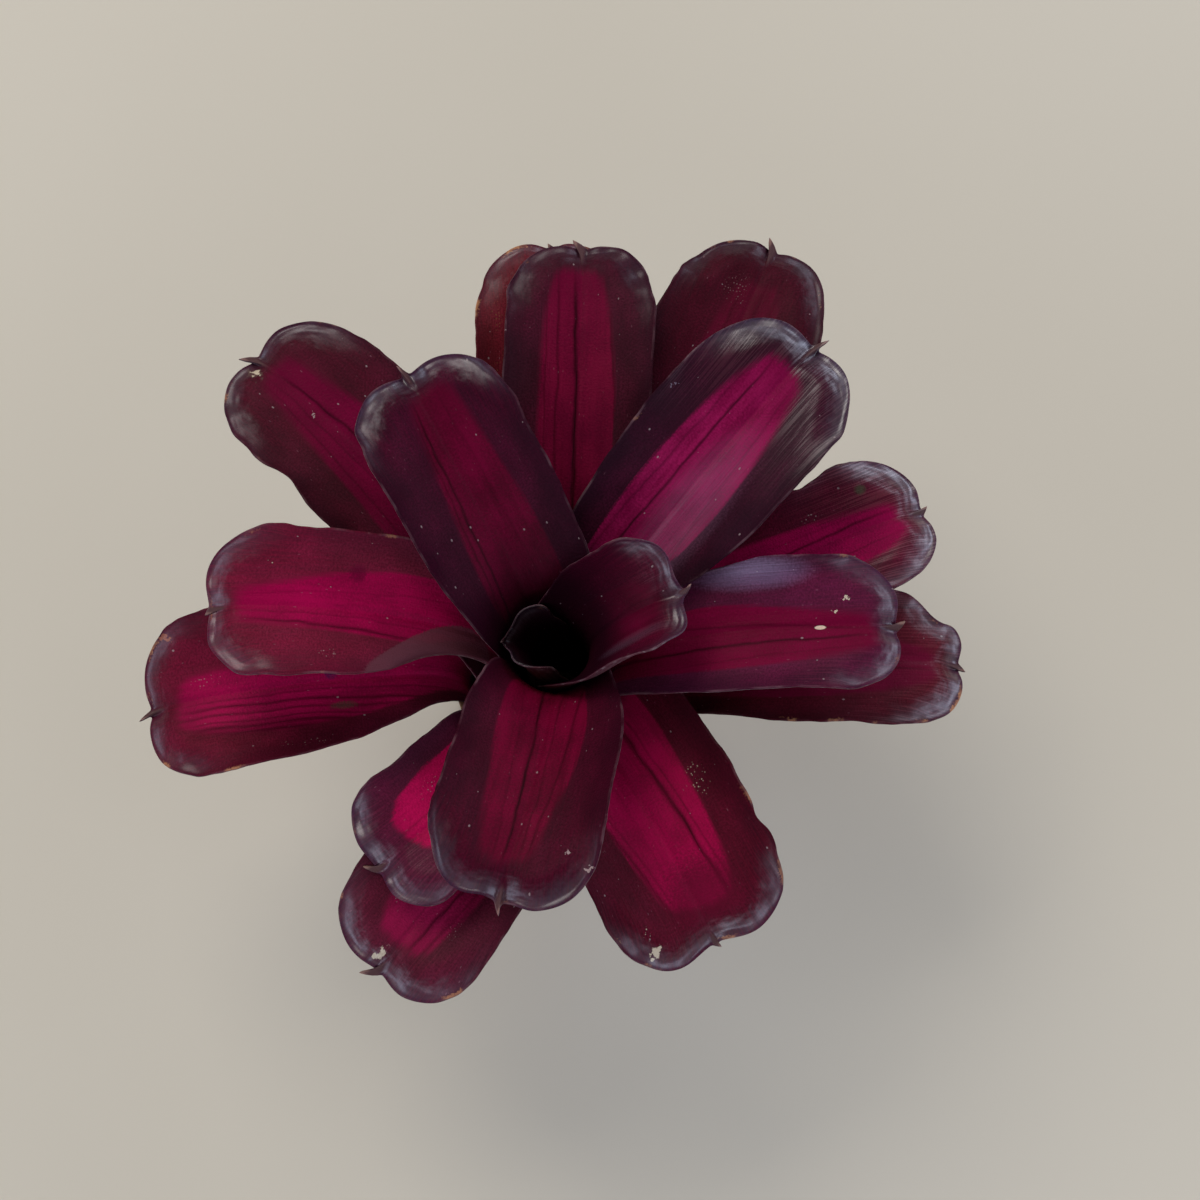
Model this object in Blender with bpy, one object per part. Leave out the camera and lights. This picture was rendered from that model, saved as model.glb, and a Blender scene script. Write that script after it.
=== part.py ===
"""Miniature neoregelia bromeliad: a rosette of seventeen broad leaves round a water tank.

The plant stands on the flat cut end of its short stem. Every leaf is one closed body: a sheath
that wraps the axis, and a channelled blade with a blunt notched tip and a small hooked spine.
Sizes are in millimetres and are turned into metres when a mesh is made. Z is up, and the
axis of the tank is the Z axis.
"""

import math

import bmesh
import bpy
import numpy as np

MM = 0.001

# The stem: a short stump, cut flat below, that narrows upward between the sheaths.
CUT_RADIUS = 9.5
STEM_RADIUS = 12.0
STEM_SHOULDER = 5.0
STEM_TOP = 25.0

# Roots (azimuth, length, height, sideways drift) and the stub of the runner, at the stump.
ROOT_RADIUS = 0.6
ROOTS = ((20, 9, 2.2, 14), (75, 7, 2.6, -20), (118, 10, 2.0, 10),
         (196, 8, 2.4, 18), (262, 10, 2.2, -12), (322, 7, 2.6, 16))
RUNNER_AZIMUTH = 158
RUNNER_RADIUS = 1.8
RUNNER_HEIGHT = 2.25
RUNNER_RISE = 0.0
RUNNER_END = 20.0

# The dried scale leaves at the foot.
SCALE_FOOT = 4.6
SCALE_ROWS = 7
SCALE_COLUMNS = 8

# The sheaths: nested surfaces round the axis that share one profile and keep a constant gap.
SHEATH_THICK = 0.6
SHEATH_GAP = 0.38
FIRST_RADIUS = 4.4
FOOT_TAPER = 4.5
FOOT_HEIGHT = 19.0
BULGE = 1.0
BULGE_HEIGHT = 48.0
GIRTH_HEIGHT = 20.0

# The blades.
BLADE_THICK = 1.1
MARGIN_THICK = 0.6
FLARE_SHARE = 0.38
SQUARE_SHARE = 0.2
TIP_BLUNTNESS = 2.5
SPINE_LENGTH = 3.4
SPINE_RISE = 1.4

SHEATH_ROWS = 5
BLADE_ROWS = 7
TIP_ROWS = 6
COLUMNS = (-1.0, -0.78, -0.46, -0.12, 0.0, 0.12, 0.46, 0.78, 1.0)
ROLLED_COLUMNS = (-1.0, -0.86, -0.68, -0.49, -0.29, -0.1, 0.0, 0.1, 0.29, 0.49, 0.68, 0.86, 1.0)
ROLLED_ANGLE = 80.0


class Leaf:
    """One leaf's own measures, in millimetres and degrees.

    azimuth: direction of the blade about the axis, from +X towards +Y
    reach: distance from the axis to the tip, seen from above
    throat: height where the sheath ends and the blade leaves the tank
    rise: slope of the blade above the horizontal after the throat, and at the tip
    width: widest part of the blade, measured along its curve
    waist: narrowest part above the sheath, as a share of the width
    sheath: width of the sheath, measured along its curve
    cup: radius of the channel across the blade
    bend: sideways drift of the tip, towards +azimuth
    twist: turn of the tip about the midrib
    notch: depth of the dent at the tip
    wave: height, number and phase of the waves of the margins
    bites: dents in a margin (side, place along the blade, half length, depth)
    rolls: margins turned down (side, place along the blade, half length, amount)
    """

    def __init__(self, azimuth, reach, throat, rise, width, waist=0.72, sheath=28.0, cup=20.0,
                 bend=0.0, twist=0.0, notch=1.2, wave=(0.4, 1.5, 0.0), bites=(), rolls=(),
                 spine=SPINE_LENGTH, widest=0.66):
        self.azimuth = azimuth
        self.reach = reach
        self.throat = throat
        self.rise = rise
        self.width = width
        self.waist = waist
        self.sheath = sheath
        self.cup = cup
        self.bend = bend
        self.twist = twist
        self.notch = notch
        self.wave = wave
        self.bites = bites
        self.rolls = rolls
        self.spine = spine
        self.widest = widest
        self.radius = FIRST_RADIUS


# From the youngest, rolled round the tank, to the oldest, lowest leaf.
LEAVES = (
    Leaf(180, 7.8, 49, (78, 60), 18, sheath=19, cup=4.8, waist=1.0, bend=-1),
    Leaf(9, 20, 49, (74, 38), 25, sheath=25, cup=9, waist=1.0, bend=1.5),
    Leaf(271, 44, 45, (52, 14), 28, sheath=21, cup=18, waist=0.88, bend=-9,
         bites=((-1, 0.08, 0.15, 4), (1, 0.1, 0.18, 4))),
    Leaf(122, 46, 45, (46, 16), 27, sheath=21, cup=18, waist=0.95, bend=-1,
         bites=((1, 0.05, 0.2, 3.6),)),
    Leaf(0, 54, 43, (36, 0), 23, sheath=27, cup=15, waist=0.85, bend=1,
         bites=((1, 0.14, 0.26, 8.5),)),
    Leaf(167, 54, 41, (36, 6), 26, sheath=27, cup=16, waist=0.9, bend=9,
         bites=((1, 0.25, 0.25, 9), (-1, 0.12, 0.15, 1.5)), rolls=((1, 0.3, 0.2, 3),)),
    Leaf(47, 60, 42, (36, 14), 28, sheath=30, cup=22, waist=0.8,
         bites=((-1, 0.13, 0.25, 7.5),)),
    Leaf(299, 55, 38, (32, -8), 31, sheath=34, cup=22, waist=0.95, bend=-1, notch=2.2,
         bites=((1, 0.72, 0.04, 0.9),)),
    Leaf(132, 69, 36, (28, 2), 28, sheath=34, cup=22, waist=0.95, bend=5,
         bites=((1, 0.72, 0.05, 1.3),)),
    Leaf(21, 64, 37, (24, 1), 24, sheath=34, cup=20, waist=0.75,
         bites=((1, 0.70, 0.09, 2.2),)),
    Leaf(243, 44, 35, (32, 4), 24, sheath=34, cup=16, waist=0.8, bend=-10),
    Leaf(84, 68, 33, (30, 7), 26, sheath=34, cup=18, waist=0.8, bend=3),
    Leaf(359, 66, 32, (24, -4), 23, sheath=36, cup=20, waist=0.6,
         bites=((1, 0.93, 0.05, 2.0),)),
    Leaf(185, 67, 32, (22, -6), 29, sheath=36, cup=20, waist=0.5, bend=3,
         bites=((1, 0.2, 0.3, 5),)),
    Leaf(57, 77, 32, (24, 4), 28, sheath=36, cup=30, waist=0.5, bend=7,
         bites=((1, 0.3, 0.3, 3),)),
    Leaf(251, 57, 30, (22, -6), 27, sheath=36, cup=22, waist=0.7, bend=-11),
    Leaf(91, 71, 31, (26, 4), 26, sheath=36, cup=24, waist=0.6,
         bites=((-1, 0.45, 0.3, 4),)),
)


class Scale:
    """A dried scale leaf at the foot: azimuth, top height, width and how far its tip stands off."""

    def __init__(self, azimuth, height, sheath, splay):
        self.azimuth = azimuth
        self.height = height
        self.sheath = sheath
        self.splay = splay
        self.radius = FIRST_RADIUS


SCALES = (
    Scale(310, 20, 30, 1.6),
    Scale(150, 17, 28, 2.0),
    Scale(25, 15, 26, 2.4),
    Scale(228, 13, 26, 2.2),
)


def smooth(x):
    """Ease from 0 to 1 as x runs from 0 to 1."""
    x = np.clip(x, 0.0, 1.0)
    return x * x * (3.0 - 2.0 * x)


def sheath_spread(z):
    """How far a sheath stands out at height z: drawn in at the foot and swollen at half height."""
    foot = FOOT_TAPER * (smooth(z / FOOT_HEIGHT) - 1.0)
    return foot + BULGE * np.sin(math.pi * np.clip(z / BULGE_HEIGHT, 0.0, 1.0))


def stem_radius(z):
    """Radius of the stem at height z above its shoulder."""
    top = FIRST_RADIUS + sheath_spread(STEM_TOP) - SHEATH_THICK / 2 - SHEATH_GAP
    return STEM_RADIUS + (top - STEM_RADIUS) * (z - STEM_SHOULDER) / (STEM_TOP - STEM_SHOULDER)


def root_height(radius):
    """Height where a sheath of this radius meets the stem."""
    heights = np.linspace(STEM_SHOULDER, STEM_TOP, 81)
    room = [radius + sheath_spread(z) - SHEATH_THICK / 2 - SHEATH_GAP - stem_radius(z) for z in heights]
    return float(np.interp(0.0, room, heights))


def stack_sheaths(leaves):
    """Give each sheath the smallest radius that clears the younger ones it crosses."""
    done = []
    for leaf in leaves:
        for younger in done:
            apart = abs((leaf.azimuth - younger.azimuth + 180.0) % 360.0 - 180.0)
            reach = sheath_angle(leaf, younger.radius) + sheath_angle(younger, younger.radius)
            if apart < min(reach, 180.0):
                leaf.radius = max(leaf.radius, younger.radius + SHEATH_THICK + SHEATH_GAP)
        done.append(leaf)


def sheath_angle(leaf, radius):
    """Half the angle that a sheath covers, in degrees, for its middle height."""
    return math.degrees(leaf.sheath / 2 / (radius + sheath_spread(GIRTH_HEIGHT)))


class Midrib:
    """The middle line of a leaf: points, a sideways unit vector and an upper normal, by length."""

    STEPS = 400

    def __init__(self, leaf):
        self.start = root_height(leaf.radius)
        sheath_z = np.linspace(self.start, leaf.throat, self.STEPS // 2)
        sheath = np.stack([leaf.radius + sheath_spread(sheath_z), sheath_z], 1)
        lean_out, lean_up = sheath[-1] - sheath[-2]
        throat_slope = math.atan2(lean_up, lean_out)

        # The blade bends from the sheath's slope to its own, and its length gives the reach.
        low, high = np.radians(leaf.rise)
        share = np.linspace(0.0, 1.0, self.STEPS // 2)
        flare = smooth(share / FLARE_SHARE)
        slope = throat_slope + (low - throat_slope + (high - low) * smooth(share)) * flare
        middle = (slope[1:] + slope[:-1]) / 2
        length = (leaf.reach - sheath[-1, 0]) / float(np.mean(np.cos(middle)))
        steps = np.stack([np.cos(middle), np.sin(middle)], 1) * length / len(middle)
        line = np.concatenate([sheath, sheath[-1] + np.cumsum(steps, 0)])

        along = np.concatenate([[0.0], np.cumsum(np.linalg.norm(np.diff(line, axis=0), axis=1))])
        self.sheath_length = float(along[len(sheath) - 1])
        self.blade_length = length
        self.length = float(along[-1])
        blade = (along - self.sheath_length) / length
        side = leaf.bend * np.clip(blade, 0.0, 1.0) ** 2

        self.along = along
        self.points = np.stack([line[:, 0], side, line[:, 1]], 1)
        tangent = np.gradient(self.points, along, axis=0)
        tangent /= np.linalg.norm(tangent, axis=1)[:, None]
        across = np.array([0.0, 1.0, 0.0]) - tangent * tangent[:, 1:2]
        across /= np.linalg.norm(across, axis=1)[:, None]
        normal = np.cross(tangent, across)

        # Sections lie level in the sheath and square to the midrib in the blade.
        square = smooth(blade / SQUARE_SHARE)[:, None]
        lift = normal * square + np.array([-1.0, 0.0, 0.0]) * (1.0 - square)
        lift /= np.linalg.norm(lift, axis=1)[:, None]
        turn = np.radians(leaf.twist) * np.clip(blade, 0.0, 1.0)[:, None]
        self.across = across * np.cos(turn) + lift * np.sin(turn)
        self.lift = lift * np.cos(turn) - across * np.sin(turn)
        self.forward = np.cross(self.across, self.lift)
        self.tilt = np.arcsin(np.clip(np.sum(normal * self.forward, 1), -1.0, 1.0))

    def at(self, values, where):
        """Read a quantity of the midrib at any length, beyond the tip as well."""
        inside = np.clip(where, 0.0, self.along[-1])
        if values.ndim == 1:
            return np.interp(inside, self.along, values)
        out = np.stack([np.interp(inside, self.along, values[:, i]) for i in range(3)], -1)
        if values is self.points:
            direction = (values[-1] - values[-2]) / (self.along[-1] - self.along[-2])
            out += (where - inside)[..., None] * direction
        return out


def leaf_grid(leaf):
    """Points, upper normals and thickness of a leaf, as rows from the base to the tip.

    Across the leaf each row is an arc whose radius is the sheath's below and the cup's above.
    The tip is a square mapped on half a superellipse: x = v sqrt(1 - u^2/2), y = u sqrt(1 - v^2/2).
    """
    rib = Midrib(leaf)
    half = leaf.width / 2
    tip_length = rib.blade_length * (1.0 - leaf.widest)
    body_end = rib.length - tip_length
    at_tip = np.array(ROLLED_COLUMNS if sheath_angle(leaf, leaf.radius) > ROLLED_ANGLE else COLUMNS)

    rows = [rib.sheath_length * (np.arange(SHEATH_ROWS) / SHEATH_ROWS) ** 1.4,
            np.linspace(rib.sheath_length, body_end, BLADE_ROWS, endpoint=False)]
    body = np.concatenate(rows)
    u = np.linspace(0.0, 1.0, TIP_ROWS + 1)

    # Half width along the body: sheath, waist, then the widest place where the tip begins.
    place = (body - rib.sheath_length) / (body_end - rib.sheath_length)
    height = np.minimum(rib.at(rib.points, body)[:, 2], leaf.throat)
    girth = leaf.radius + sheath_spread(GIRTH_HEIGHT)
    sheath = leaf.sheath / 2 * (leaf.radius + sheath_spread(height)) / girth
    lower = sheath + (half * leaf.waist - sheath) * smooth(body / (rib.sheath_length + 4.0))
    wide = lower + (half - lower) * smooth(place)
    even = np.linspace(-1.0, 1.0, len(at_tip))
    v_body = even + (at_tip - even) * smooth(place)[:, None]
    s_body = np.repeat(body[:, None], len(at_tip), 1)

    x = at_tip * np.sqrt(1.0 - u[:, None] ** 2 / 2)
    y = u[:, None] * np.sqrt(1.0 - at_tip ** 2 / 2)
    blunt = (np.abs(x) ** TIP_BLUNTNESS + np.abs(y) ** TIP_BLUNTNESS) ** (1.0 / TIP_BLUNTNESS)
    grow = np.hypot(x, y) / np.maximum(blunt, 1e-6)
    x, y = x * grow, y * grow
    dent = leaf.notch * u[:, None] ** 3 * np.exp(-(x / 0.30) ** 2)
    a_tip = half * x
    s_tip = body_end + tip_length * y - dent

    v = np.concatenate([v_body, np.repeat(at_tip[None, :], len(u), 0)])
    arc = np.concatenate([wide[:, None] * v_body, a_tip])
    along = np.concatenate([s_body, s_tip])
    blade = (along - rib.sheath_length) / rib.blade_length

    for side, where, extent, depth in leaf.bites:
        near = np.exp(-((blade - where) / extent) ** 2) * (np.sign(arc) == side)
        arc = arc - side * depth * near * v ** 2

    # Curvature across the leaf.
    sheath_z = np.minimum(rib.at(rib.points, along)[..., 2], leaf.throat)
    sheath_radius = leaf.radius + sheath_spread(sheath_z)
    open_up = smooth(blade / 0.55 + 0.05)
    bow = (1.0 - open_up) / sheath_radius + open_up / leaf.cup
    angle = bow * arc
    across = np.sin(angle) / bow
    rise = (1.0 - np.cos(angle)) / bow

    # Waves and turned-down margins.
    outer = np.clip((np.abs(v) - 0.3) / 0.7, 0.0, 1.0) ** 2
    height, cycles, phase = leaf.wave
    ripple = height * np.sin(2 * math.pi * cycles * blade + phase + np.sign(v) * 1.3)
    rise = rise + ripple * smooth(blade / 0.4) * outer
    for side, where, extent, amount in leaf.rolls:
        near = np.exp(-((blade - where) / extent) ** 2) * (np.sign(v) == side) * outer
        rise = rise - amount * near
        across = across - side * 0.5 * amount * near

    across_way = rib.at(rib.across, along)
    lift_way = rib.at(rib.lift, along)
    points = rib.at(rib.points, along) + across_way * across[..., None] + lift_way * rise[..., None]
    level = lift_way * np.cos(angle)[..., None] - across_way * np.sin(angle)[..., None]
    tilt = rib.at(rib.tilt, along)[..., None]
    normals = level * np.cos(tilt) + rib.at(rib.forward, along) * np.sin(tilt)

    # The hooked spine grows from the middle of the last row.
    middle = len(at_tip) // 2
    forward = points[-1, middle] - points[-2, middle]
    forward /= np.linalg.norm(forward)
    points[-1, middle] += leaf.spine * forward + SPINE_RISE * normals[-1, middle]

    edge = v ** 2
    body_thick = SHEATH_THICK + (BLADE_THICK - SHEATH_THICK) * smooth(blade / 0.3)
    thick = body_thick + (MARGIN_THICK - body_thick) * edge
    thick = np.where(blade > 0.9, thick + (MARGIN_THICK - thick) * smooth((blade - 0.9) / 0.1), thick)

    turn = math.radians(leaf.azimuth)
    spin = np.array([[math.cos(turn), math.sin(turn), 0], [-math.sin(turn), math.cos(turn), 0], [0, 0, 1]])
    return points @ spin, normals @ spin, thick


def slab_mesh(points, normals, thick):
    """Close a grid into a slab: an upper face, a lower face and the rim between them."""
    rows, columns = thick.shape
    offset = normals * thick[..., None] / 2
    verts = np.concatenate([(points + offset).reshape(-1, 3), (points - offset).reshape(-1, 3)])
    below = rows * columns
    faces = []
    for i in range(rows - 1):
        for j in range(columns - 1):
            a = i * columns + j
            b, c, d = a + 1, a + columns + 1, a + columns
            faces += [(a, c, d), (a, b, c)]
            faces += [(below + a, below + d, below + c), (below + a, below + c, below + b)]
    rim = list(range(columns))
    rim += [i * columns + columns - 1 for i in range(1, rows)]
    rim += [(rows - 1) * columns + j for j in range(columns - 2, -1, -1)]
    rim += [i * columns for i in range(rows - 2, 0, -1)]
    for a, b in zip(rim, rim[1:] + rim[:1]):
        faces += [(a, below + b, b), (a, below + a, below + b)]
    return verts, faces


def material(name, color, roughness, metallic=0.0):
    made = bpy.data.materials.new(name)
    made.use_nodes = True
    shader = made.node_tree.nodes["Principled BSDF"]
    shader.inputs["Base Color"].default_value = (*color, 1.0)
    shader.inputs["Roughness"].default_value = roughness
    shader.inputs["Metallic"].default_value = metallic
    made.diffuse_color = (*color, 1.0)
    return made


def add_object(name, verts, faces, look):
    """Make a mesh object from points in millimetres, with its faces turned outward."""
    mesh = bpy.data.meshes.new(name)
    mesh.from_pydata([tuple(p) for p in np.asarray(verts) * MM], [], faces)
    body = bmesh.new()
    body.from_mesh(mesh)
    bmesh.ops.recalc_face_normals(body, faces=body.faces)
    if body.calc_volume(signed=True) < 0:
        bmesh.ops.reverse_faces(body, faces=body.faces)
    body.to_mesh(mesh)
    body.free()
    for polygon in mesh.polygons:
        polygon.use_smooth = True
    mesh.materials.append(look)
    made = bpy.data.objects.new(name, mesh)
    bpy.context.scene.collection.objects.link(made)
    return made


def lathe(profile, sides):
    """Points and faces of a solid turned round the Z axis from (radius, height) pairs."""
    turn = np.linspace(0.0, 2 * math.pi, sides, endpoint=False)
    verts = [(r * math.cos(t), r * math.sin(t), z) for r, z in profile for t in turn]
    return verts, ring_faces(len(profile), sides)


def tube(line, radii, sides):
    """Points and faces of a closed tube along a line of points, one radius for each."""
    line = np.asarray(line, float)
    tangent = np.gradient(line, axis=0)
    tangent /= np.linalg.norm(tangent, axis=1)[:, None]
    side = np.cross(tangent, [0.0, 0.0, 1.0])
    side /= np.linalg.norm(side, axis=1)[:, None]
    top = np.cross(side, tangent)
    turn = np.linspace(0.0, 2 * math.pi, sides, endpoint=False)
    verts = []
    for i, radius in enumerate(radii):
        for t in turn:
            verts.append(line[i] + radius * (side[i] * math.cos(t) + top[i] * math.sin(t)))
    return verts, ring_faces(len(line), sides)


def ring_faces(rings, sides):
    """Faces that join rings of points one after another, with a flat face at each end."""
    faces = []
    for i in range(rings - 1):
        for j in range(sides):
            k = (j + 1) % sides
            faces.append((i * sides + j, i * sides + k, (i + 1) * sides + k, (i + 1) * sides + j))
    last = (rings - 1) * sides
    faces.append(tuple(range(sides))[::-1])
    faces.append(tuple(last + j for j in range(sides)))
    return faces


def root_line(azimuth, length, height, droop):
    """A root: out of the stump at a height, then down towards the ground."""
    t = np.linspace(0.0, 1.0, 7)
    r = CUT_RADIUS - 2.5 + length * t
    z = np.maximum(height * (1.0 - smooth(t * 1.4)) + ROOT_RADIUS * 1.6, ROOT_RADIUS * 1.6)
    sway = np.radians(azimuth + droop * t ** 2)
    return np.stack([r * np.cos(sway), r * np.sin(sway), z], 1)


def build_stem():
    """The stump with its roots and the cut stub of the runner it grew from, fused as one body."""
    look = material("stem_fibre", (0.24, 0.16, 0.09), 0.8)
    top = stem_radius(STEM_TOP)
    profile = [(CUT_RADIUS, 0.0), (CUT_RADIUS + 0.9, 1.2), (CUT_RADIUS + 0.6, 1.8),
               (STEM_RADIUS - 0.7, 3.0), (STEM_RADIUS - 0.9, 3.5), (STEM_RADIUS, STEM_SHOULDER),
               (stem_radius(15.0), 15.0), (top, STEM_TOP), (top * 0.6, STEM_TOP + 2.0)]
    stem = add_object("stem", *lathe(profile, 32), look)

    shoots = []
    for azimuth, length, height, droop in ROOTS:
        line = root_line(azimuth, length, height, droop)
        radii = [ROOT_RADIUS * (1.0 - 0.35 * i / (len(line) - 1)) for i in range(len(line))]
        shoots.append(add_object("root", *tube(line, radii, 8), look))
    turn = math.radians(RUNNER_AZIMUTH)
    out = np.array([math.cos(turn), math.sin(turn), RUNNER_RISE])
    start = np.array([0.0, 0.0, RUNNER_HEIGHT])
    line = [start + out * r for r in (CUT_RADIUS - 4.0, CUT_RADIUS + 3.0, CUT_RADIUS + 6.0, RUNNER_END)]
    radii = [RUNNER_RADIUS, RUNNER_RADIUS, RUNNER_RADIUS * 1.15, RUNNER_RADIUS * 0.95]
    shoots.append(add_object("runner", *tube(line, radii, 14), look))
    fuse(stem, shoots)


def fuse(base, others):
    """Join other bodies into one and remove them."""
    group = bpy.data.collections.new("fuse")
    for other in others:
        group.objects.link(other)
    cut = base.modifiers.new("fuse", "BOOLEAN")
    cut.operation = "UNION"
    cut.operand_type = "COLLECTION"
    cut.collection = group
    cut.solver = "EXACT"
    graph = bpy.context.evaluated_depsgraph_get()
    mesh = bpy.data.meshes.new_from_object(base.evaluated_get(graph))
    base.modifiers.clear()
    base.data = mesh
    for other in others:
        bpy.data.objects.remove(other, do_unlink=True)
    bpy.data.collections.remove(group)


def scale_grid(scale):
    """A short dried scale leaf that wraps the foot of the rosette and narrows to a point."""
    t = np.linspace(0.0, 1.0, SCALE_ROWS)[:, None]
    v = np.linspace(-1.0, 1.0, SCALE_COLUMNS)[None, :]
    z = SCALE_FOOT + (scale.height - SCALE_FOOT) * t * (1.0 - 0.10 * v ** 2 * t)
    radius = scale.radius + sheath_spread(z)
    half = scale.sheath / 2 * (1.0 - 0.80 * t ** 2.2)
    angle = half * v / (scale.radius + sheath_spread(GIRTH_HEIGHT))
    out = radius + scale.splay * t ** 3
    around = angle + math.radians(scale.azimuth)
    points = np.stack([out * np.cos(around), out * np.sin(around), z], -1)
    slope = np.gradient(out, axis=0) / np.gradient(z, axis=0)
    normals = np.stack([-np.cos(around), -np.sin(around), slope], -1)
    normals /= np.linalg.norm(normals, axis=-1)[..., None]
    return points, normals, np.full(z.shape, SHEATH_THICK)


def build_scales():
    look = material("scale_papery", (0.32, 0.20, 0.12), 0.75)
    for number, scale in enumerate(SCALES, 1):
        add_object(f"scale_{number}", *slab_mesh(*scale_grid(scale)), look)


def build_leaves():
    look = material("leaf_blade", (0.22, 0.01, 0.06), 0.4)
    for number, leaf in enumerate(LEAVES, 1):
        add_object(f"leaf_{number:02d}", *slab_mesh(*leaf_grid(leaf)), look)


def main():
    for old in list(bpy.data.objects):
        bpy.data.objects.remove(old, do_unlink=True)
    stack_sheaths(LEAVES + SCALES)
    build_stem()
    build_leaves()
    build_scales()


main()
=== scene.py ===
"""Looks of a miniature neoregelia: 17 fine leaves, dried scales, a rooted stump and a soft studio.

Shapes are worked out in millimetres, in the frame's own place, and become metres when a mesh is
made. Z is up and the axis of the tank is the Z axis.
"""

import math
from dataclasses import dataclass
from functools import cache

import bpy
import numpy as np
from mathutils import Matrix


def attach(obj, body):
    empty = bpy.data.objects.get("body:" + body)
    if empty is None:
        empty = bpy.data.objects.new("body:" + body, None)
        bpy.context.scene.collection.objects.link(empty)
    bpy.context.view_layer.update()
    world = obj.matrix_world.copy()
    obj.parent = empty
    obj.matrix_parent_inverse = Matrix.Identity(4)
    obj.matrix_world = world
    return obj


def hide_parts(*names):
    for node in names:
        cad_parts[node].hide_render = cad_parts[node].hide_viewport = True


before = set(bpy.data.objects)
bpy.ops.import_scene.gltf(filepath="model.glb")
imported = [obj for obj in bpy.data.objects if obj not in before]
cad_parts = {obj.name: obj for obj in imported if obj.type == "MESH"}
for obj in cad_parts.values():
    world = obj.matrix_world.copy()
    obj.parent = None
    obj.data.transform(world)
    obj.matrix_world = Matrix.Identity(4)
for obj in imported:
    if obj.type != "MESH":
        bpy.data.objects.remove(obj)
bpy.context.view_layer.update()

MM = 0.001
UV_SPAN = 100.0  # millimetres of leaf in one unit of its UV maps

# The stump, its roots (azimuth, length, height, droop) and the stub of the runner.
CUT_RADIUS = 9.5
STEM_RADIUS = 12.0
STEM_SHOULDER = 5.0
STEM_TOP = 25.0
ROOT_RADIUS = 0.6
ROOTS = ((20, 9, 2.2, 14), (75, 7, 2.6, -20), (118, 10, 2.0, 10),
         (196, 8, 2.4, 18), (262, 10, 2.2, -12), (322, 7, 2.6, 16))
RUNNER_AZIMUTH = 158
RUNNER_RADIUS = 1.8
RUNNER_HEIGHT = 2.25
RUNNER_END = 20.0

# The sheaths: nested surfaces round the axis that share one profile and keep a constant gap.
SHEATH_THICK = 0.6
FINE_SHEATH_THICK = 0.5
SHEATH_GAP = 0.38
FIRST_RADIUS = 4.4
FOOT_TAPER = 4.5
FOOT_HEIGHT = 19.0
BULGE = 1.0
BULGE_HEIGHT = 48.0
GIRTH_HEIGHT = 20.0

# The blades. A share is a part of the blade's length, unless it says otherwise.
BLADE_THICK = 1.0
MARGIN_THICK = 0.36
FLARE_SHARE = 0.38  # where the blade has its own slope
SQUARE_SHARE = 0.2  # where its sections are square to the midrib
OPEN_SHARE = 0.55  # where it has its own hollow
WIDEST_SHARE = 0.66
TIP_BLUNTNESS = 2.5
NOTCH_SHARE = 0.30  # half width of the notch, as a part of the blade's
MARGIN_WEAR = 0.14
WAVE_HEIGHTS = 0.4, 0.30  # the margin's long wave and its uneven ones

# Relief of the tip and along the midrib: heights, half widths and half lengths.
LIP_WIDTH = 5.0
LIP_DROP = 2.1
SHOULDER_HEIGHT, SHOULDER_PLACE, SHOULDER_WIDTH, SHOULDER_LENGTH = 0.55, 2.6, 1.5, 3.6
VALLEY_DEPTH, VALLEY_WIDTH, VALLEY_LENGTH = 0.75, 1.1, 4.5
GROOVE_DEPTH, GROOVE_WIDTH = 0.22, 0.55
PUCKER_HEIGHT = 0.07
SWELL_HEIGHT = 0.06
SPINE_WIDTH = 0.32
SPINE_ROWS = 0.20  # the part of the tip's rows that is drawn out into the spine

SHEATH_ROWS = 14
BLADE_ROWS = 52
TIP_ROWS = 44
COLUMNS = 73


@dataclass
class Leaf:
    """One leaf's measures, in millimetres and degrees.

    azimuth, reach: the way it points, and the distance of its tip from the axis
    throat, rise: height where the sheath ends, and the blade's slope at its start and at its tip
    width, sheath, cup: widths of blade and sheath, and the radius of the blade's hollow
    waist: the blade's width at the throat, as a part of its full width
    bend, notch: how far the tip lies to one side, and the depth of its notch
    spine, hook: length of the spine, and how far it bends sideways
    lip: how strongly the rim of the tip turns down, 1 for most leaves
    bites, rolls: dents in a margin, and margins turned down (side, share, half length, amount)
    """

    azimuth: float
    reach: float
    throat: float
    rise: tuple
    width: float
    sheath: float
    cup: float
    waist: float
    bend: float = 0.0
    notch: float = 1.2
    spine: float = 2.4
    hook: float = 0.3
    lip: float = 1.0
    bites: tuple = ()
    rolls: tuple = ()
    radius: float = FIRST_RADIUS


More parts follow.
